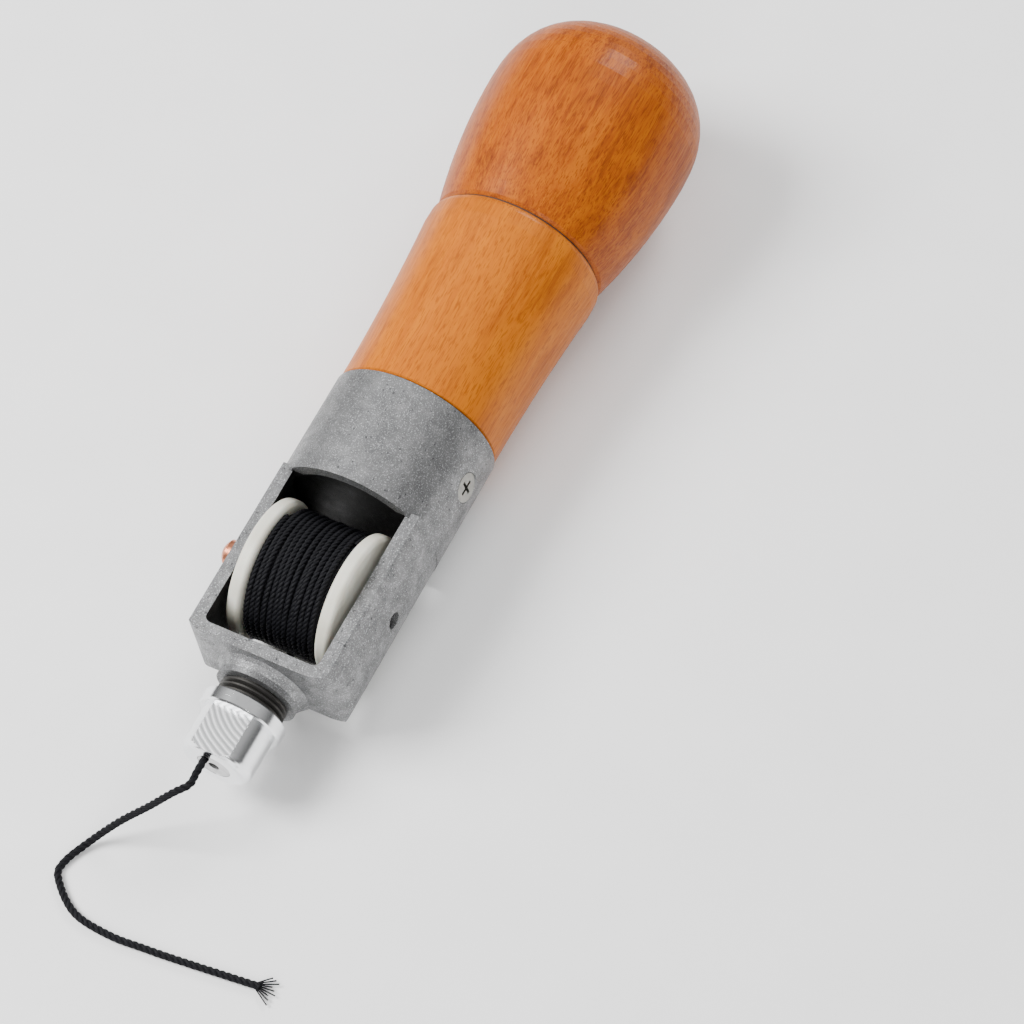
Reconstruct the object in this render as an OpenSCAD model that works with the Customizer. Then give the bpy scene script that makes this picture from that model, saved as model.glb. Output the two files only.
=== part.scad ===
// Hand sewing awl: cast head with a thread bobbin, screw chuck, hollow turned handle.
// The tool is drawn along X, chuck towards -X, with x = 0 where metal meets wood.
// It is then laid down with its bobbin window up, resting on its collar and its knob.

/* [Head casting] */
// Radius of the round collar, and half the width across the flat sides
head_r = 15.5; // [14:0.5:18]
// Length of the head from its end face to the wood
head_len = 54.5; // [50:0.5:60]
// Length of the round collar
collar_len = 21.3; // [19:0.1:24]
// Height of the front rim above the axis
rim_front = 10.3; // [9.5:0.1:12]
// Depth of the back rim below the axis
rim_back = 9.7; // [9:0.1:11]
// Half the width of the bobbin window
window_half = 10.85; // [10.85:0.05:11.5]

/* [Bobbin] */
// Radius of a bobbin flange
bobbin_r = 12.7; // [11:0.1:12.9]
// Half the width of the bobbin
bobbin_half = 9.8; // [8:0.1:10]
// Thickness of a bobbin flange
flange_t = 2.6; // [1:0.1:3]
// Radius of the wound thread
winding_r = 11.8; // [8:0.1:12.2]
// Radius of the axle pin
axle_r = 1.5; // [1.2:0.1:2]

/* [Chuck] */
// Radius of the cap's flange
cap_flange_r = 7.6; // [7:0.1:9]
// Radius of the cap's body
cap_r = 6.5; // [6.2:0.1:7]
// Distance of the wrench flats from the axis
cap_flat = 5.4; // [5.2:0.1:6]
// Radius of the needle bore in the collet
needle_bore_r = 1.0; // [0.8:0.05:1.05]

/* [Handle] */
// Length of the grip from the metal to the seam
grip_len = 38.4; // [34:0.1:44]
// Radius of the grip at the metal
grip_r = 15.2; // [14:0.1:15.4]
// Radius of the grip at its shoulder
shoulder_r = 16.7; // [16:0.1:18]
// Largest radius of the knob
knob_r = 19.8; // [18:0.1:22]
// Radius of the storage bore
store_r = 8.4; // [8.3:0.1:9]

/* [Thread] */
// Radius of the waxed thread
thread_r = 0.65; // [0.4:0.05:0.7]

/* [Hidden] */
$fn = 96;
run_gap = 0.06;

// Bobbin axis
axle_x = -35.9;
axle_z = 1.7;
bobbin_y = 0.3;
hub_r = 4;
flange_edge = 0.8;
axle_bore_r = axle_r + 0.05;
axle_head_r = 2.4;
axle_head_t = 2.2;
axle_end_y = -13.4;

// Head
window_x0 = -52.3;
window_corner = 1.2;
side_lean = 2.3;
end_corner = 6;
back_round = 8;
bulkhead_t = 3.3;
recess_t = 2;
recess_r = 13.4;
side_half = head_r - 0.1;
window_end = 0.3 - collar_len;
socket_r = 12.8;
// A shallow flat under the collar's front edge, level with the ground, keeps the tool from rolling
seat_r = head_r - 0.6;
boss_r = 7.4;
boss_end = -57.2;
screw_x = -8.75;
screw_turn = 10.8;
screw_head_r = 2.75;
screw_r = 1.6;
screw_len = 10;

// Nose and chuck, all along -X
shank_r = 4.5;
nose_r = 6.2;
nose_groove = 0.6;
ridge_pitch = 1;
cap_x0 = -60.4;
nose_thread_r = 5;
nose_end = -65.2;
cap_seat = -67;
cap_end = -71.6;
cap_round = 1.6;
flange_len = 2.7;
collet_r = 3.1;
duct_r = 3.1;
cord_y = 1.3;
cord_z = 1.9;

// Handle
seam_gap = 0.4;
washer_t = 0.4;
knob_x0 = grip_len + washer_t + 0.1;
knob_belly = 66;
knob_end = 84.2;
knob_seam_r = 16.1;
sleeve_r = 9.4;
sleeve_wall = 1;
sleeve_x0 = 30;
sleeve_x1 = 46;
insert_x0 = 28;
insert_wall = 1.2;
store_x0 = -16;

// Rest pose on the ground: tangent to the collar's front edge and to the knob's belly
tilt = asin((knob_r - seat_r) / (knob_belly + collar_len));
lift = seat_r * cos(tilt) + collar_len * sin(tilt);
shift_x = -5.75;

module laid() translate([shift_x, 0, lift]) rotate([0, -tilt, 0]) children();

// Ground level in the tool's own frame, below the point x on the axis
function ground(x) = -(lift + x * sin(tilt)) / cos(tilt);

// Cylinder along the tool's axis
module rod(x0, x1, r) translate([x0, 0, 0]) rotate([0, 90, 0]) cylinder(h = x1 - x0, r = r);

// Solid of revolution about the tool's axis, from [x, r] points
module turned(points) rotate([0, 90, 0]) rotate_extrude()
    polygon([for (p = points) [p[1], p[0]]]);

// Points of an arc about [cx, cy], turning from angle a0 to a1
function arc(cx, cy, r, a0, a1, n) = [for (i = [0:n]) let (a = a0 + (a1 - a0) * i / n)
    [cx + r * cos(a), cy + r * sin(a)]];

// Section of the head, y across and z up: round below, sides leaning in to the front rim
module head_section() {
    low = asin(rim_back / side_half);
    lean = [for (i = [1:8]) let (t = i / 8) [side_half - side_lean * t * t, rim_front * t]];
    polygon(concat(arc(0, 0, side_half, -low, 0, 8), lean,
        [for (i = [7:-1:0]) [-lean[i][0], lean[i][1]]], arc(0, 0, side_half, 180, 180 + low, 8)));
}

// Outline of the head from above, x along and y across, with rounded corners at its end
module head_plan() polygon(concat(
    [[0, -head_r - 1], [0, head_r + 1]],
    arc(end_corner - head_len, head_r + 0.01 - end_corner, end_corner, 90, 180, 8),
    arc(end_corner - head_len, end_corner - head_r - 0.01, end_corner, 180, 270, 8)));

// Outline of the head from the side, x along and z up, with the back rounded into the end
module head_side() polygon(concat(
    [[0, -rim_back - 0.01], [0, rim_front + 1], [-head_len - 1, rim_front + 1]],
    [[-head_len - 0.01, 0]],
    arc(back_round - head_len - 0.01, back_round - rim_back - 0.01, back_round, 180, 270, 8)));

// Bar across the tool through the bobbin axis, from y0 to y1
module cross_bar(y0, y1, r) translate([axle_x, y0, axle_z]) rotate([-90, 0, 0])
    cylinder(h = y1 - y0, r = r);

// Outline of the window from above, with rounded corners at the chuck end
module window_plan() polygon(concat(
    [[window_end, -window_half], [window_end, window_half]],
    arc(window_x0 + window_corner, window_half - window_corner, window_corner, 90, 180, 6),
    arc(window_x0 + window_corner, window_corner - window_half, window_corner, 180, 270, 6)));

module head_casting() color("silver") laid() difference() {
    union() {
        intersection() {
            translate([-head_len, 0, 0]) rotate([90, 0, 90])
                linear_extrude(height = head_len - collar_len + 1) head_section();
            translate([0, 0, -head_r]) linear_extrude(height = 2 * head_r) head_plan();
            translate([0, head_r + 1, 0]) rotate([90, 0, 0])
                linear_extrude(height = 2 * head_r + 2) head_side();
        }
        rod(-collar_len, 0, head_r);
        turned([[-head_len + 0.5, 0], [-head_len + 0.5, 9], [-head_len - 0.6, 8],
            [-head_len - 1.6, boss_r], [boss_end, boss_r], [boss_end, 0]]);
    }
    translate([0, 0, -head_r - 1]) linear_extrude(height = 2 * head_r + 2) window_plan();
    rod(-collar_len - 1, recess_t - collar_len, recess_r);
    translate([-collar_len, 0, -seat_r]) rotate([0, tilt, 0])
        translate([-1, -head_r, -3]) cube([collar_len + 2, 2 * head_r, 3]);
    rod(bulkhead_t - collar_len, 1, socket_r);
    rod(boss_end - 1, window_x0 + 1, shank_r);
    cross_bar(head_r - 6, head_r + 1, axle_bore_r);
    cross_bar(-head_r - 1, 6 - head_r, axle_bore_r);
    screw_hole(head_r + 1);
}

// Countersunk hole of the handle screw, square to the collar
module screw_hole(top) translate([screw_x, 0, 0]) rotate([90 - screw_turn, 0, 0])
    rotate_extrude() polygon([[0, socket_r - 2], [screw_r, socket_r - 2], [screw_r, head_r - 2.3],
        [screw_head_r + 0.05, head_r - 0.1], [screw_head_r + 0.05, top], [0, top]]);

module handle_screw() color("gainsboro") laid()
    translate([screw_x, 0, 0]) rotate([90 - screw_turn, 0, 0]) difference() {
        union() {
            translate([0, 0, head_r - screw_len]) cylinder(h = screw_len - 0.4, r = screw_r);
            translate([0, 0, head_r - 2.35])
                cylinder(h = 2.15, r1 = screw_r, r2 = screw_head_r - 0.1);
        }
        for (turn = [0, 90]) rotate([0, 0, turn])
            translate([-1.5, -0.3, head_r - 1.2]) cube([3, 0.6, 2]);
    }

// Steel nose: shank through the end wall, ridged neck, thread for the cap
module threaded_nose() color("dimgray") laid() difference() {
    union() {
        rod(boss_end, window_x0 - 0.3, shank_r);
        turned(concat(
            [[cap_x0 + 0.1, 0], [cap_x0 + 0.1, nose_r - nose_groove]],
            [for (i = [0:2]) each [
                [cap_x0 + 0.1 + i * ridge_pitch + 0.35, nose_r],
                [cap_x0 + 0.1 + i * ridge_pitch + 0.65, nose_r],
                [cap_x0 + 0.1 + (i + 1) * ridge_pitch, nose_r - nose_groove]]],
            [[boss_end, nose_r - nose_groove], [boss_end, 0]]));
        rod(nose_end, cap_x0 + 0.2, nose_thread_r);
    }
    rod(nose_end - 1, window_x0 + 1, duct_r);
}

module bobbin_axle() color("peru") laid() {
    cross_bar(axle_end_y, head_r + 0.2, axle_r);
    intersection() {
        cross_bar(head_r, head_r + axle_head_t, axle_head_r);
        translate([axle_x, head_r - 1, axle_z]) sphere(r = axle_head_t + 1);
    }
}

// Flange outline, [r, y], with rounded edges
module flange_profile() polygon(concat([[0, 0]],
    arc(bobbin_r - flange_edge, flange_edge, flange_edge, -90, 0, 6),
    arc(bobbin_r - flange_edge, flange_t - flange_edge, flange_edge, 0, 90, 6), [[0, flange_t]]));

module bobbin_spool() color("ivory") laid() difference() {
    translate([0, bobbin_y, 0]) {
        cross_bar(-bobbin_half + 0.1, bobbin_half - 0.1, hub_r);
        for (y = [-bobbin_half, bobbin_half - flange_t])
            translate([axle_x, y, axle_z]) rotate([-90, 0, 0]) rotate_extrude() flange_profile();
    }
    cross_bar(-head_r, head_r, axle_r + 0.1);
}

module thread_winding() color("black") laid() difference() {
    inner = bobbin_half - flange_t;
    translate([0, bobbin_y, 0]) cross_bar(-inner, inner, winding_r);
    cross_bar(-head_r, head_r, hub_r);
}

// Channel of the thread beside the needle
module cord_slot(x0, x1, r) translate([x0, cord_y, cord_z]) rotate([0, 90, 0])
    cylinder(h = x1 - x0, r = r);

module collet() color("lightgray") laid() difference() {
    union() {
        rod(cap_end + 0.05, cap_seat + 0.5, collet_r - run_gap);
        rod(cap_seat + 0.05, nose_end - 0.3, nose_thread_r - 0.4);
    }
    rod(cap_end - 1, nose_end + 1, needle_bore_r);
    cord_slot(cap_end - 1, nose_end + 1, thread_r + 0.15);
}

module chuck_cap() color("whitesmoke") laid() difference() {
    union() {
        turned([[cap_x0 - flange_len, 0], [cap_x0 - flange_len, cap_flange_r - 0.3],
            [cap_x0 - flange_len + 0.3, cap_flange_r], [cap_x0 - 0.3, cap_flange_r],
            [cap_x0, cap_flange_r - 0.3], [cap_x0, 0]]);
        intersection() {
            turned(concat([[cap_end, 0]],
                [for (a = [90:-15:0]) [cap_end + cap_round * (1 - sin(a)),
                    cap_r - cap_round * (1 - cos(a))]],
                [[cap_x0 - flange_len + 0.2, cap_r], [cap_x0 - flange_len + 0.2, 0]]));
            translate([cap_end - 1, -cap_r - 1, -cap_flat])
                cube([20, 2 * cap_r + 2, 2 * cap_flat]);
        }
    }
    rod(cap_seat, cap_x0 + 1, nose_thread_r + run_gap);
    rod(cap_end - 1, cap_seat + 1, collet_r);
}

// Outline of the grip: slim at the metal, full at the shoulder
module handle_grip() color("orange") laid() difference() {
    union() {
        rod(bulkhead_t - collar_len, seam_gap + 1, socket_r);
        turned(concat([[seam_gap, 0], [seam_gap, grip_r - 0.3]],
            [for (t = [0:0.1:1]) [seam_gap + 0.3 + t * (grip_len - 4.4),
                grip_r + (shoulder_r - grip_r) * pow(t, 1.9)]],
            [for (a = [20:14:76]) [grip_len - 1.8 + 1.8 * sin(a), shoulder_r - 0.8 + 0.8 * cos(a)]],
            [[grip_len, shoulder_r - 0.8], [grip_len, 0]]));
    }
    rod(store_x0, grip_len + 1, store_r);
    rod(insert_x0, grip_len + 1, sleeve_r + run_gap + insert_wall);
    screw_shaft();
}
module screw_shaft() translate([screw_x, 0, 0]) rotate([90 - screw_turn, 0, 0])
    translate([0, 0, 4]) cylinder(h = head_r, r = screw_r);

module grip_insert() color("darkgray") laid() difference() {
    rod(insert_x0, grip_len, sleeve_r + run_gap + insert_wall);
    rod(insert_x0 - 1, grip_len + 1, sleeve_r + run_gap);
}

module knob_washer() color("saddlebrown") laid() difference() {
    rod(grip_len + 0.05, grip_len + 0.05 + washer_t, knob_seam_r - 0.4);
    rod(grip_len - 1, grip_len + 2, sleeve_r + run_gap);
}

module handle_knob() color("chocolate") laid() difference() {
    belly = knob_belly - knob_x0;
    tail = knob_end - knob_belly;
    turned(concat([[knob_x0, 0], [knob_x0, knob_seam_r - 0.4]],
        [for (t = [0.02:0.098:1]) [knob_x0 + t * belly,
            knob_r - (knob_r - knob_seam_r) * pow(1 - t, 1.9)]],
        [for (a = [6:6:84]) [knob_belly + tail * pow(sin(a), 0.8), knob_r * pow(cos(a), 0.8)]],
        [[knob_end, 0]]));
    rod(knob_x0 - 1, sleeve_x1 + 3, store_r);
    rod(knob_x0 - 1, sleeve_x1, sleeve_r);
}

module knob_sleeve() color("darkgray") laid() difference() {
    rod(sleeve_x0, sleeve_x1, sleeve_r);
    rod(sleeve_x0 - 1, sleeve_x1 + 1, sleeve_r - sleeve_wall);
}

// Needle in the handle's store: shank, blade, eye near the point
module stored_needle(x0, length, y, z, shank) translate([x0, y, z]) rotate([0, 90, 0])
    difference() {
        union() {
            cylinder(h = length * 0.3, r = shank);
            translate([0, 0, length * 0.3]) cylinder(h = length * 0.62, r = shank * 0.75);
            translate([0, 0, length * 0.92])
                cylinder(h = length * 0.08, r1 = shank * 0.75, r2 = 0.1);
        }
        translate([-0.25, -2, length * 0.84]) cube([0.5, 4, 2.4]);
        translate([shank * 0.55, -2, length * 0.3]) cube([2, 4, length * 0.5]);
    }

module long_needle() color("lightgray") laid() stored_needle(store_x0 + 0.05, 57, -2.4, -6.9, 0.95);
module short_needle() color("lightgray") laid() stored_needle(store_x0 + 0.05, 48, 2.4, -6.9, 0.95);

// Flat wrench: open end with two parallel sides, plain blade end
module wrench() color("darkgray") laid() translate([store_x0 + 0.05, 0, -5.4])
    difference() {
        union() {
            translate([0, -3, 0]) cube([46, 6, 1.6]);
            intersection() {
                translate([49.5, 0, 0]) cylinder(h = 1.6, r = 7);
                translate([40, -6.3, 0]) cube([20, 12.6, 1.6]);
            }
        }
        translate([46.5, -cap_flat / 2 - 0.2, -1]) cube([14, cap_flat + 0.4, 4]);
    }

// Smooth curve through the points, with n steps between each two
function spline(p, n) = [for (i = [0:len(p) - 2]) for (k = [0:n - 1])
    let (t = k / n, a = p[max(i - 1, 0)], b = p[i], c = p[i + 1], d = p[min(i + 2, len(p) - 1)])
    0.5 * (2 * b + (c - a) * t + (2 * a - 5 * b + 4 * c - d) * t * t
        + (3 * b - a - 3 * c + d) * t * t * t), p[len(p) - 1]];
function unit(v) = v / norm(v);

// Tube of eight sides swept along the points
module tube(path, r) {
    sides = 8;
    n = len(path);
    ways = [for (i = [0:n - 1]) unit(path[min(i + 1, n - 1)] - path[max(i - 1, 0)])];
    rings = [for (i = [0:n - 1]) let (
        u = unit(cross(ways[i], [0.05, 0.1, 1])), v = cross(ways[i], u))
        for (k = [0:sides - 1]) path[i] + r * (cos(45 * k) * u + sin(45 * k) * v)];
    skin = [for (i = [0:n - 2]) for (k = [0:sides - 1])
        [i * sides + k, i * sides + (k + 1) % sides,
            (i + 1) * sides + (k + 1) % sides, (i + 1) * sides + k]];
    polyhedron(rings, concat(skin,
        [[for (k = [sides - 1:-1:0]) k]], [[for (k = [0:sides - 1]) (n - 1) * sides + k]]));
}

lead_route = [[-42.3, cord_y, -9.5], [-46.8, cord_y, -6.3],
    [-50, cord_y, -1.4], [-53, cord_y, 1], [-56.5, cord_y, cord_z],
    [-60, cord_y, cord_z], [-66, cord_y, cord_z], [-71.6, cord_y, cord_z]];
tail_route = [[-71.6, cord_y, cord_z], [-74.5, cord_y, cord_z], [-76.8, cord_y, cord_z],
    [-79, 3.6, 0.8], [-81.6, 7.2, -2.4], [-84.9, 11.9, -6.2], [-88.9, 16, -9.7],
    [-94, 18.3, ground(-94) + 0.7], [-97, 17.6, ground(-97) + 0.7],
    [-101.3, 12, ground(-101) + 0.7], [-102.4, 4.7, ground(-102) + 0.7],
    [-102, -2, ground(-102) + 0.7], [-101.4, -8.5, ground(-101) + 0.7],
    [-99.8, -22.8, ground(-100) + 0.7]];

module thread_lead() color("black") laid() tube(spline(lead_route, 2), thread_r);
module thread_tail() color("black") laid() tube(spline(tail_route, 3), thread_r);

head_casting();
threaded_nose();
handle_screw();
bobbin_axle();
bobbin_spool();
thread_winding();
collet();
chuck_cap();
handle_grip();
grip_insert();
knob_washer();
handle_knob();
knob_sleeve();
long_needle();
short_needle();
wrench();
thread_lead();
thread_tail();
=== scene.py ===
"""A hand sewing awl lying on a pale table, seen from its chuck end."""

import math

import bpy
from mathutils import Euler, Matrix, Vector, noise


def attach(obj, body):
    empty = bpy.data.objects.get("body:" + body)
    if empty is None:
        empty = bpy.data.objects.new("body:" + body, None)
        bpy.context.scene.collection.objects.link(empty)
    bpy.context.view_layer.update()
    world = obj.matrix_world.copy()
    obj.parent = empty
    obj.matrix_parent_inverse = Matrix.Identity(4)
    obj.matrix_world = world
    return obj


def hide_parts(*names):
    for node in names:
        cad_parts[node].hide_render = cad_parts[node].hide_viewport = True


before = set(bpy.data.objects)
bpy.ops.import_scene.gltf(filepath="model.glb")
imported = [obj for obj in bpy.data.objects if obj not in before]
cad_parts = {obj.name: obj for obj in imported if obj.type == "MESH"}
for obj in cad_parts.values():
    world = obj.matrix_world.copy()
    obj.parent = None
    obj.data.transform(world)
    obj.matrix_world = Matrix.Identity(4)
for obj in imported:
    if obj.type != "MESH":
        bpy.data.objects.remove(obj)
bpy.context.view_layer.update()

MM = 0.001

# The tool's own frame, as in the CAD: x along the axis from the metal/wood seam, z out of the window.
SEAT_R, COLLAR_LEN, KNOB_R, BELLY_X = 14.9, 21.3, 19.8, 66.0
AXLE = Vector((-35.9, 0.0, 1.7))
SHIFT_X = -5.75
TILT = math.asin((KNOB_R - SEAT_R) / (BELLY_X + COLLAR_LEN))
LIFT = SEAT_R * math.cos(TILT) + COLLAR_LEN * math.sin(TILT)
LAID = Matrix.Translation((SHIFT_X * MM, 0, LIFT * MM)) @ Matrix.Rotation(-TILT, 4, "Y")


def at(x, y, z):
    """A point of the tool's own frame, in millimetres, as a point of the row frame."""
    return LAID @ Vector((x * MM, y * MM, z * MM))


def ground(x):
    """Height of the table in the tool's own frame, below the point x on the axis."""
    return -(LIFT + x * math.sin(TILT)) / math.cos(TILT)


# ---------------------------------------------------------------- camera

# Turn and offset of the tool in the camera's view, from a fit to its round edges; millimetres
CAM_TURN = (-0.429, -0.308, -0.381)
CAM_OFFSET = Vector((-16.788, 14.997, -690.17))
LENS, SENSOR = 140.6, 36.0


def make_camera():
    """The view from above the chuck end; the fit's axes are across, along and up from the tool."""
    turn = Euler(CAM_TURN, "XYZ").to_matrix()
    place = turn.transposed() @ -CAM_OFFSET
    axes = Matrix([(row[1], -row[0], row[2]) for row in turn]).transposed().to_4x4()
    axes.translation = Vector((place[1], -place[0], place[2])) * MM
    data = bpy.data.cameras.new("camera")
    data.lens, data.sensor_width = LENS, SENSOR
    data.clip_start, data.clip_end = 0.01, 50
    camera = bpy.data.objects.new("camera", data)
    bpy.context.collection.objects.link(camera)
    camera.matrix_world = LAID @ axes
    bpy.context.scene.camera = camera


make_camera()

# ---------------------------------------------------------------- meshes


def link(name, verts, faces, material, smooth=True):
    """A new piece from vertices and faces, with one material."""
    mesh = bpy.data.meshes.new(name)
    mesh.from_pydata([tuple(v) for v in verts], [], faces)
    mesh.update()
    for poly in mesh.polygons:
        poly.use_smooth = smooth
    piece = bpy.data.objects.new(name, mesh)
    bpy.context.collection.objects.link(piece)
    mesh.materials.append(material)
    return piece


def spline(points, steps):
    """Smooth curve through the points, with so many steps between each two."""
    out = []
    for i in range(len(points) - 1):
        a, b = points[max(i - 1, 0)], points[i]
        c, d = points[i + 1], points[min(i + 2, len(points) - 1)]
        for k in range(steps):
            t = k / steps
            out.append(0.5 * (2 * b + (c - a) * t + (2 * a - 5 * b + 4 * c - d) * t * t
                              + (3 * b - a - 3 * c + d) * t ** 3))
    out.append(points[-1])
    return out


def evenly(points, gap):
    """The same curve with its points a fixed distance apart."""
    out, left = [points[0]], gap
    for a, b in zip(points, points[1:]):
        span = (b - a).length
        while left < span:
            a = a + (b - a) * (left / span)
            span -= left
            left = gap
            out.append(a)
        left -= span
    out.append(points[-1])
    return out


def frames(path):
    """A tangent and two side directions at each point, carried along without twist."""
    out, side = [], None
    for i, p in enumerate(path):
        way = (path[min(i + 1, len(path) - 1)] - path[max(i - 1, 0)]).normalized()
        if side is None:
            side = way.orthogonal()
        side = (side - way * side.dot(way)).normalized()
        out.append((way, side, way.cross(side)))
    return out


def sweep(path, radius, sides, verts, faces):
    """Adds a closed round tube along the path; radius is a number or one for each point."""
    base = len(verts)
    for i, (p, (_, u, v)) in enumerate(zip(path, frames(path))):
        r = radius[i] if hasattr(radius, "__len__") else radius
        for k in range(sides):
            a = 2 * math.pi * k / sides
            verts.append(p + r * (math.cos(a) * u + math.sin(a) * v))
    n = len(path)
    for i in range(n - 1):
        for k in range(sides):
            a, b = base + i * sides + k, base + i * sides + (k + 1) % sides
            faces.append((a, b, b + sides, a + sides))
    faces.append([base + k for k in reversed(range(sides))])
    faces.append([base + (n - 1) * sides + k for k in range(sides)])


def twisted(path, radius, plies, lay, verts, faces, sides=8):
    """Adds a laid thread: plies that turn about the path, once in each lay length."""
    around = frames(path)
    ply_r = radius / (1 + 1 / math.sin(math.pi / plies))
    centre = radius - ply_r
    runs = [[] for _ in range(plies)]
    travelled = 0.0
    for i, (p, (_, u, v)) in enumerate(zip(path, around)):
        if i:
            travelled += (p - path[i - 1]).length
        for k in range(plies):
            a = 2 * math.pi * (travelled / lay + k / plies)
            runs[k].append(p + centre * (math.cos(a) * u + math.sin(a) * v))
    for run in runs:
        sweep(run, ply_r * 1.2, sides, verts, faces)


# ---------------------------------------------------------------- materials

# Edges on the tool that a finish or the painted shade inside the casting stops at, each a little past the
# edge itself
WINDOW_HALF, WINDOW_X0, WINDOW_X1, RIM_Z = 10.95, -52.4, -20.9, 10.1
RECESS_R, RECESS_X = 13.45, -21.2
FLAT_LOW, FLAT_HIGH, FLAT_X = 5.34, 5.46, -63.05
AXLE_HEAD_Y = 15.2
WEAR = (0.8, 0.8, 0.8)


class Look:
    """A small builder for one procedural material."""

    def __init__(self, name):
        self.material = bpy.data.materials.new(name)
        self.material.use_nodes = True
        self.tree = self.material.node_tree
        self.shader = self.tree.nodes["Principled BSDF"]
        self.coords = self.add("ShaderNodeTexCoord").outputs["Object"]

    def add(self, kind, **settings):
        node = self.tree.nodes.new(kind)
        for key, value in settings.items():
            setattr(node, key, value)
        return node

    def wire(self, source, target):
        self.tree.links.new(source, target)

    def place(self, scale=(1, 1, 1)):
        """Coordinates in the tool's own frame, in millimetres times scale."""
        node = self.add("ShaderNodeMapping", vector_type="TEXTURE")
        node.inputs["Location"].default_value = LAID.translation
        node.inputs["Rotation"].default_value = (0, -TILT, 0)
        node.inputs["Scale"].default_value = [MM / s for s in scale]
        self.wire(self.coords, node.inputs["Vector"])
        return node.outputs["Vector"]

    def noise(self, scale, size=1.0, detail=4, rough=0.55, warp=0.0):
        """Noise with so many features a millimetre along each of the tool's axes."""
        node = self.add("ShaderNodeTexNoise")
        node.inputs["Scale"].default_value = size
        node.inputs["Detail"].default_value = detail
        node.inputs["Roughness"].default_value = rough
        node.inputs["Distortion"].default_value = warp
        self.wire(self.place(scale), node.inputs["Vector"])
        return node.outputs["Fac"]

    def ramp(self, fac, stops):
        """Greys or colours that follow fac, from a list of (place, colour)."""
        node = self.add("ShaderNodeValToRGB")
        bar = node.color_ramp.elements
        while len(bar) < len(stops):
            bar.new(0.5)
        for element, (where, colour) in zip(bar, stops):
            element.position = where
            element.color = (*colour, 1) if hasattr(colour, "__len__") else (colour,) * 3 + (1,)
        self.wire(fac, node.inputs["Fac"])
        return node.outputs["Color"]

    def mix(self, fac, a, b):
        """Colour a where fac is 0 and b where it is 1."""
        node = self.add("ShaderNodeMix", data_type="RGBA")
        for value, socket in ((fac, node.inputs[0]), (a, node.inputs[6]), (b, node.inputs[7])):
            if hasattr(value, "is_output"):
                self.wire(value, socket)
            elif hasattr(value, "__len__"):
                socket.default_value = (*value, 1)
            else:
                socket.default_value = value
        return node.outputs[2]

    def maths(self, operation, a, b=0.0):
        """One sum on numbers or wires."""
        node = self.add("ShaderNodeMath", operation=operation)
        for value, socket in ((a, node.inputs[0]), (b, node.inputs[1])):
            if hasattr(value, "is_output"):
                self.wire(value, socket)
            else:
                socket.default_value = value
        return node.outputs[0]

    def part(self, vector, axis):
        """One of X, Y and Z of a vector."""
        node = self.add("ShaderNodeSeparateXYZ")
        self.wire(vector, node.inputs[0])
        return node.outputs[axis]

    def bump(self, height, distance, strength=1.0):
        """Relief of the height wire, distance in millimetres."""
        node = self.add("ShaderNodeBump")
        node.inputs["Strength"].default_value = strength
        node.inputs["Distance"].default_value = distance * MM
        self.wire(height, node.inputs["Height"])
        self.wire(node.outputs["Normal"], self.shader.inputs["Normal"])

    def set(self, **values):
        """Values or wires for the shader's sockets, with _ for each space in a name."""
        for key, value in values.items():
            socket = self.shader.inputs[key.replace("_", " ")]
            if hasattr(value, "is_output"):
                self.wire(value, socket)
            else:
                socket.default_value = value


def wood(name, pale, mid, dark, figure, seed):
    """Turned beech under clear lacquer: long grain, broad figure and short flecks."""
    look = Look(name)
    grain = look.noise((0.05, 1.1, 1.1), 1.6 + seed, 6, 0.6, 0.4)
    broad = look.noise((0.035 * figure, 0.16 * figure, 0.16 * figure), 1.0 + seed, 3, 0.5, 1.2)
    fleck = look.noise((0.35, 3.4, 3.4), 1.3, 3, 0.5)
    tone = look.ramp(broad, [(0.22, dark), (0.5, mid), (0.8, pale)])
    tone = look.mix(look.ramp(grain, [(0.42, 0.0), (0.62, 0.6)]), tone, pale)
    tone = look.mix(look.ramp(fleck, [(0.53, 0.0), (0.62, 0.6)]), tone, dark)
    cloud = look.noise((0.9, 0.9, 0.9), 0.2)
    tone = look.mix(look.ramp(cloud, [(0.35, 0.0), (0.7, 0.16)]), tone, dark)
    look.set(Base_Color=tone, Coat_Weight=0.1, Coat_Roughness=0.16, Specular_IOR_Level=0.16,
             Roughness=look.ramp(grain, [(0.35, 0.52), (0.7, 0.4)]))
    look.bump(look.maths("ADD", grain, look.maths("MULTIPLY", fleck, 0.5)), 0.06, 0.35)
    return look.material


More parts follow.
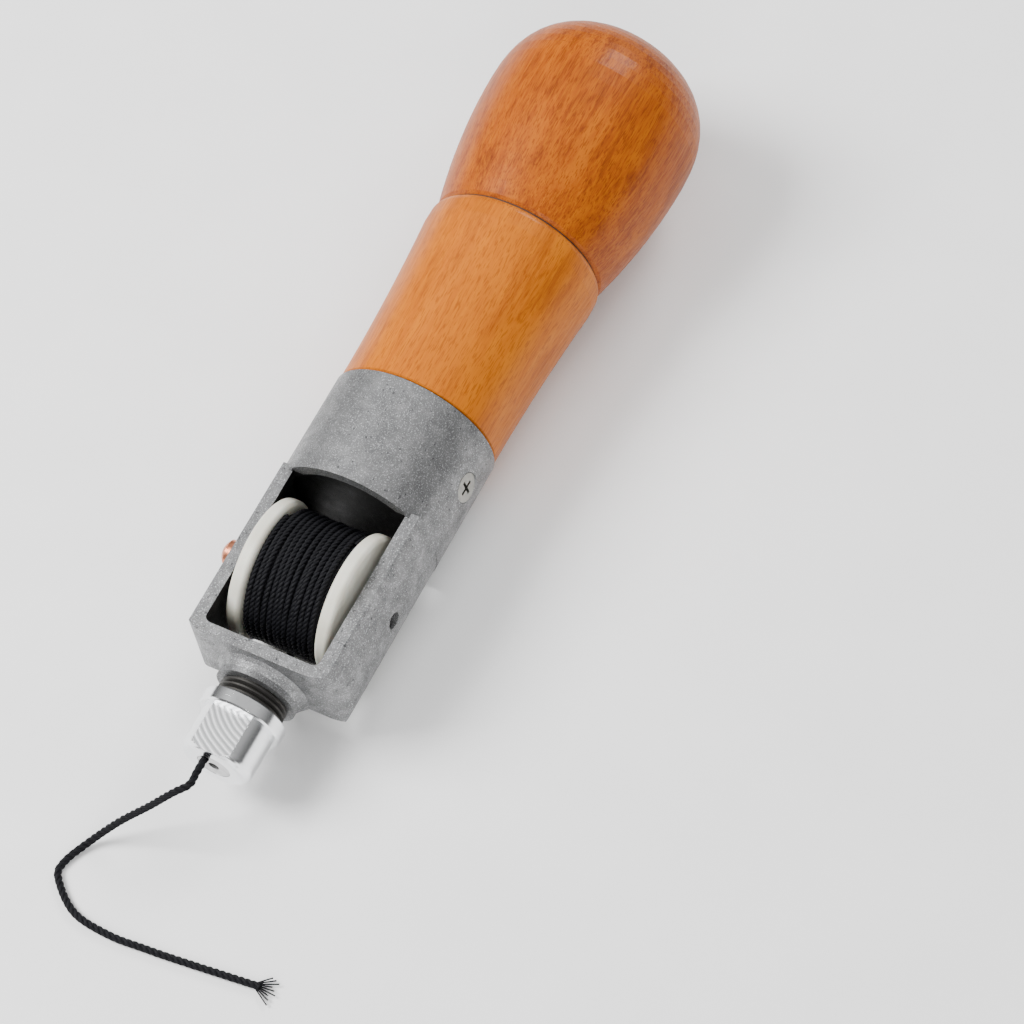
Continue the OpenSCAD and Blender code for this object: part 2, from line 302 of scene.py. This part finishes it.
def cast_metal():
    """Satin cast alloy: mottled, pitted, with bright specks, and painted shade that makes the inner walls
    nearly black.
    """
    look = Look("cast_metal")
    mottle = look.noise((0.35, 0.35, 0.35), 1.0, 6, 0.62, 0.3)
    grit = look.noise((4.2, 4.2, 4.2), 1.0, 3, 0.6)
    pits = look.noise((1.7, 1.7, 1.7), 1.0, 2, 0.5)
    tone = look.ramp(mottle, [(0.3, (0.13, 0.131, 0.133)), (0.52, (0.19, 0.191, 0.193)),
                              (0.72, (0.27, 0.271, 0.273))])
    tone = look.mix(look.ramp(grit, [(0.54, 0.0), (0.68, 0.6)]), tone, (0.70, 0.71, 0.72))
    pit = look.ramp(pits, [(0.66, 0.0), (0.72, 0.75)])
    tone = look.mix(pit, tone, (0.03, 0.03, 0.032))
    # painted shade: the walls of the window and the recess under the arch are painted nearly black,
    # standing in for their shadow
    spot = look.place()
    x, y, z = (look.part(spot, axis) for axis in "XYZ")
    narrow = look.maths("LESS_THAN", look.maths("ABSOLUTE", y), WINDOW_HALF)
    between = look.maths("MULTIPLY", look.maths("GREATER_THAN", x, WINDOW_X0),
                         look.maths("LESS_THAN", x, WINDOW_X1))
    window = look.maths("MULTIPLY", look.maths("MULTIPLY", narrow, between),
                        look.maths("LESS_THAN", z, RIM_Z))
    radius = look.maths("SQRT", look.maths("ADD", look.maths("MULTIPLY", y, y),
                                           look.maths("MULTIPLY", z, z)))
    arch = look.maths("MULTIPLY", look.maths("LESS_THAN", radius, RECESS_R),
                      look.maths("GREATER_THAN", x, RECESS_X))
    shade_inside_mask = look.maths("MAXIMUM", window, arch)
    # painted shade: near-black colour laid over the window walls and the recess under the arch
    tone = look.mix(look.maths("MULTIPLY", shade_inside_mask, 0.96), tone, (0.006, 0.006, 0.006))
    look.set(Base_Color=tone, Metallic=0.85, Specular_IOR_Level=0.5,
             Roughness=look.ramp(mottle, [(0.3, 0.56), (0.7, 0.42)]))
    look.bump(look.maths("ADD", look.maths("MULTIPLY", grit, 0.6),
                         look.maths("SUBTRACT", mottle, look.maths("MULTIPLY", pit, 0.8))), 0.12, 0.6)
    return look.material


def turned_metal(name, colour, rough, metallic=1.0, ring=7.0, depth=0.02, axis="X"):
    """Lathe-turned metal: fine rings along the axis, a little wear."""
    look = Look(name)
    scale = tuple(ring if a == axis else 0.15 for a in "XYZ")
    rings = look.noise(scale, 1.0, 2, 0.5)
    wear = look.noise(WEAR, 1.0, 5, 0.6)
    dark = tuple(c * 0.72 for c in colour)
    tone = look.mix(look.ramp(wear, [(0.4, 0.0), (0.7, 0.6)]), colour, dark)
    look.set(Base_Color=tone, Metallic=metallic,
             Roughness=look.ramp(wear, [(0.3, rough), (0.7, min(rough + 0.16, 1.0))]))
    look.bump(rings, depth, 0.5)
    return look.material


def cap_metal():
    """Bright aluminium: turned rings on the round, curved cutter marks on the two flats."""
    look = Look("cap_metal")
    spot = look.place()
    x, z = (look.part(spot, axis) for axis in "XZ")
    flat = look.maths("MULTIPLY", look.maths("GREATER_THAN", look.maths("ABSOLUTE", z), FLAT_LOW),
                      look.maths("LESS_THAN", x, FLAT_X))
    flat = look.maths("MULTIPLY", flat, look.maths("LESS_THAN", look.maths("ABSOLUTE", z), FLAT_HIGH))
    wave = look.add("ShaderNodeTexWave", wave_type="RINGS", rings_direction="Z")
    wave.inputs["Scale"].default_value = 0.34
    wave.inputs["Distortion"].default_value = 1.4
    wave.inputs["Detail Scale"].default_value = 0.6
    shifted = look.add("ShaderNodeVectorMath", operation="ADD")
    shifted.inputs[1].default_value = (54, 9, 0)
    look.wire(spot, shifted.inputs[0])
    look.wire(shifted.outputs[0], wave.inputs["Vector"])
    rings = look.noise((6.0, 0.12, 0.12), 1.0, 2, 0.5)
    height = look.mix(flat, rings, wave.outputs["Color"])
    shade = look.ramp(wave.outputs["Fac"], [(0.2, (0.62, 0.63, 0.64)), (0.8, (0.94, 0.945, 0.95))])
    tone = look.mix(flat, (0.92, 0.93, 0.94), shade)
    scuff = look.noise((1.2, 1.2, 1.2), 1.0, 5, 0.65)
    tone = look.mix(look.ramp(scuff, [(0.55, 0.0), (0.75, 0.4)]), tone, (0.6, 0.61, 0.62))
    look.set(Base_Color=tone, Metallic=1.0,
             Roughness=look.maths("ADD", look.maths("MULTIPLY", flat, 0.16), 0.17))
    look.bump(height, 0.03, 0.55)
    return look.material


def copper_headed():
    """Copper over the domed head, dull dark steel along the shank."""
    look = Look("copper_headed")
    y = look.part(look.place(), "Y")
    wear = look.noise((1.2, 1.2, 1.2), 1.0, 4, 0.6)
    head = look.maths("GREATER_THAN", y, AXLE_HEAD_Y)
    copper = look.ramp(wear, [(0.3, (0.50, 0.17, 0.09)), (0.7, (0.72, 0.30, 0.18))])
    steel = look.ramp(wear, [(0.3, (0.05, 0.05, 0.05)), (0.7, (0.12, 0.12, 0.12))])
    look.set(Base_Color=look.mix(head, steel, copper), Metallic=1.0,
             Roughness=look.ramp(wear, [(0.3, 0.24), (0.7, 0.42)]))
    look.bump(look.noise((3, 3, 3), 1.0, 3, 0.5), 0.03, 0.4)
    return look.material


def plastic():
    """Ivory moulded plastic, faintly cloudy."""
    look = Look("ivory_plastic")
    cloud = look.noise((0.2, 0.2, 0.2), 1.0, 4, 0.5)
    fine = look.noise((3, 3, 3), 1.0, 2, 0.5)
    tone = look.ramp(cloud, [(0.3, (0.62, 0.60, 0.50)), (0.7, (0.74, 0.73, 0.64))])
    look.set(Base_Color=tone, Roughness=look.ramp(fine, [(0.3, 0.36), (0.7, 0.46)]),
             Subsurface_Weight=0.08, Subsurface_Scale=0.002, Specular_IOR_Level=0.45)
    look.bump(fine, 0.02, 0.3)
    return look.material


def waxed_thread():
    """Black waxed thread with a little dust in its fibres."""
    look = Look("waxed_thread")
    fibre = look.noise((6, 6, 6), 1.0, 3, 0.6)
    dust = look.noise((0.7, 0.7, 0.7), 1.0, 4, 0.6)
    tone = look.ramp(fibre, [(0.35, (0.002, 0.002, 0.0025)), (0.7, (0.010, 0.010, 0.013))])
    tone = look.mix(look.ramp(dust, [(0.5, 0.0), (0.75, 0.35)]), tone, (0.016, 0.016, 0.02))
    look.set(Base_Color=tone, Specular_IOR_Level=0.12,
             Roughness=look.ramp(dust, [(0.3, 0.48), (0.7, 0.66)]))
    look.bump(fibre, 0.05, 0.7)
    return look.material


THREAD = waxed_thread()

# ---------------------------------------------------------------- free thread

THREAD_R, PLIES, LAY = 0.65, 3, 3.4
CORD_Y, CORD_Z = 1.3, 1.9
REST = 0.7  # height of the thread's centre where it lies on the table
TAIL = [
    (-71.6, CORD_Y, CORD_Z), (-74.5, CORD_Y, CORD_Z), (-76.8, CORD_Y, CORD_Z), (-79, 3.6, 0.8),
    (-81.6, 7.2, -2.4), (-84.9, 11.9, -6.2), (-88.9, 16, -9.7), (-94, 18.3, ground(-94) + REST),
    (-97, 17.6, ground(-97) + REST), (-101.3, 12, ground(-101) + REST),
    (-102.4, 4.7, ground(-102) + REST), (-102, -2, ground(-102) + REST),
    (-101.4, -8.5, ground(-101) + REST), (-99.8, -22.8, ground(-100) + REST),
]


def make_tail():
    """The free thread from the chuck to its end; returns its path."""
    path = evenly(spline([at(*p) for p in TAIL], 12), 0.35 * MM)
    verts, faces = [], []
    twisted(path, THREAD_R * MM, PLIES, LAY * MM, verts, faces)
    tail = link("thread_tail_twist", verts, faces, THREAD)
    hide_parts("thread_tail")
    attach(tail, "head")
    return path


tail_path = make_tail()
FIBRES, FIBRE_R, FAN, SPREAD, ROOT = 9, 0.13, 0.16, 0.11, 0.8


def make_fray(path):
    """Loose fibres that fan out where the plies come apart at the free end."""
    verts, faces = [], []
    way = (path[-1] - path[-12]).normalized()
    side = way.cross(Vector((0, 0, 1))).normalized()
    for i in range(FIBRES):
        across = i - FIBRES // 2
        turn = across * FAN
        lean = way * math.cos(turn) + side * math.sin(turn)
        start = path[-1] + side * across * SPREAD * MM - way * ROOT * MM
        rise = Vector((0, 0, (0.1 - 0.05 * (i % 3)) * MM))
        run = [start, start + lean * 1.6 * MM + rise, start + lean * (2.8 + 0.5 * (i % 3)) * MM + rise]
        sweep(spline(run, 4), FIBRE_R * MM, 6, verts, faces)
    fray = link("thread_end_fray", verts, faces, THREAD)
    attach(fray, "head")


make_fray(tail_path)

# ---------------------------------------------------------------- wound thread

BOBBIN_Y, BOBBIN_HALF, FLANGE_T, WINDING_R, HUB_R = 0.3, 9.8, 2.6, 11.8, 4.0
WOUND_R, WOUND_LAY = 0.52, 3.0  # the thread pulled tight on the bobbin
LAYERS = ((WINDING_R - 1.25, 13.5, 1), (WINDING_R - 0.45, 13.0, -1))  # radius, turns, direction
CORE_R = WINDING_R - 1.2
POINTS_A_TURN = 150


def around_axle(radius, angle, y):
    """A point at a radius and an angle about the bobbin's axis, y off the bobbin's middle."""
    return at(AXLE.x + radius * math.cos(angle), BOBBIN_Y + y, AXLE.z + radius * math.sin(angle))


def make_winding():
    """Thread laid on the bobbin turn by turn, the last layer crossing the one below."""
    half = BOBBIN_HALF - FLANGE_T - WOUND_R
    verts, faces = [], []
    for layer, (radius, turns, lead) in enumerate(LAYERS):
        run, count = [], int(turns * POINTS_A_TURN)
        for i in range(count + 1):
            t = i / count
            a = 2 * math.pi * turns * t + layer
            drift = noise.noise(Vector((a * 0.45, layer * 7.0, 0))) * 0.55
            y = lead * (2 * t - 1) * half + drift * min(1.0, 6 * t, 6 * (1 - t))
            y = max(-half, min(half, y))
            r = radius + 0.12 * noise.noise(Vector((a * 0.8, 3.0, layer)))
            run.append(around_axle(r, a, y))
        twisted(run, WOUND_R * MM, PLIES, WOUND_LAY * MM, verts, faces, sides=6)
    # a closed core for the layers below, which fills the gaps between the turns
    ring, base, width = 96, len(verts), BOBBIN_HALF - FLANGE_T
    for y, r in ((-width, HUB_R), (-width, CORE_R), (width, CORE_R), (width, HUB_R)):
        verts.extend(around_axle(r, 2 * math.pi * k / ring, y) for k in range(ring))
    for i in range(4):
        for k in range(ring):
            a, b = base + i * ring + k, base + i * ring + (k + 1) % ring
            c, d = base + (i + 1) % 4 * ring + (k + 1) % ring, base + (i + 1) % 4 * ring + k
            faces.append((a, b, c, d))
    winding = link("thread_wound_turns", verts, faces, THREAD)
    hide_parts("thread_winding")
    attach(winding, "bobbin")


make_winding()

# ---------------------------------------------------------------- finishes of the CAD nodes

FINISHES = {
    "head_casting": cast_metal(),
    "threaded_nose": turned_metal("nose_metal", (0.07, 0.067, 0.063), 0.42, 0.9, 3.0, 0.05),
    "handle_screw": turned_metal("screw_metal", (0.34, 0.335, 0.31), 0.34, 1.0, 0.5),
    "bobbin_axle": copper_headed(),
    "bobbin_spool": plastic(),
    "collet": turned_metal("collet_metal", (0.62, 0.62, 0.62), 0.32),
    "chuck_cap": cap_metal(),
    "handle_grip": wood("grip_wood", pale=(0.58, 0.165, 0.0), mid=(0.46, 0.112, 0.0),
                        dark=(0.24, 0.048, 0.0), figure=0.9, seed=0.0),
    "grip_insert": turned_metal("insert_metal", (0.5, 0.5, 0.5), 0.36, 1.0, 2.0, 0.06),
    "knob_washer": turned_metal("fibre", (0.07, 0.03, 0.014), 0.7, 0.0, 3.0, 0.03),
    "handle_knob": wood("knob_wood", pale=(0.46, 0.115, 0.0), mid=(0.33, 0.066, 0.0),
                        dark=(0.14, 0.020, 0.0), figure=1.2, seed=0.7),
    "knob_sleeve": turned_metal("sleeve_metal", (0.5, 0.5, 0.5), 0.36, 1.0, 2.0, 0.06),
    "long_needle": turned_metal("needle_metal", (0.74, 0.74, 0.74), 0.2, 1.0, 5.0),
    "short_needle": turned_metal("short_needle_metal", (0.74, 0.74, 0.74), 0.2, 1.0, 5.0),
    "wrench": turned_metal("wrench_metal", (0.45, 0.45, 0.45), 0.4, 1.0, 0.4),
    "thread_lead": THREAD,
}

for node_name, finish in FINISHES.items():
    for material_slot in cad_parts[node_name].material_slots:
        material_slot.material = finish

# ---------------------------------------------------------------- table and light


TABLE_HALF = 6.0
SKY_STRENGTH, SKY_LOW, SKY_HIGH = 0.62, (0.12, 0.16), (0.75, 1.0)


def make_stage():
    """A pale table, and a sky that is bright overhead and dim at the horizon."""
    paper = Look("pale_table")
    grain = paper.noise((0.05, 0.05, 0.05), 1.0, 3)
    paper.set(Base_Color=paper.ramp(grain, [(0.3, 0.90), (0.7, 0.93)]), Roughness=0.75)
    corners = [Vector((x * TABLE_HALF, y * TABLE_HALF, 0)) for x, y in ((-1, -1), (1, -1), (1, 1), (-1, 1))]
    table = link("table", corners, [(0, 1, 2, 3)], paper.material, smooth=False)
    world = bpy.data.worlds.new("studio")
    world.use_nodes = True
    nodes, wires = world.node_tree.nodes, world.node_tree.links
    split = nodes.new("ShaderNodeSeparateXYZ")
    sky = nodes.new("ShaderNodeValToRGB")
    wires.new(nodes.new("ShaderNodeTexCoord").outputs["Generated"], split.inputs[0])
    wires.new(split.outputs["Z"], sky.inputs["Fac"])
    for element, (where, level) in zip(sky.color_ramp.elements, (SKY_LOW, SKY_HIGH)):
        element.position, element.color = where, (level, level, level, 1)
    wires.new(sky.outputs["Color"], nodes["Background"].inputs["Color"])
    nodes["Background"].inputs["Strength"].default_value = SKY_STRENGTH
    bpy.context.scene.world = world


def make_light(name, place, size, power):
    """A square lamp at a place, aimed at the row frame's origin."""
    data = bpy.data.lights.new(name, "AREA")
    data.energy, data.size = power, size
    lamp = bpy.data.objects.new(name, data)
    bpy.context.collection.objects.link(lamp)
    aim = (-Vector(place)).to_track_quat("-Z", "Y")
    lamp.matrix_world = Matrix.LocRotScale(Vector(place), aim, None)


make_stage()
make_light("key", (-0.25, 0.55, 0.7), 0.45, 15.0)
make_light("fill", (-0.7, -0.35, 0.55), 0.5, 5.0)
make_light("rim", (0.7, -0.1, 0.6), 0.35, 5.0)
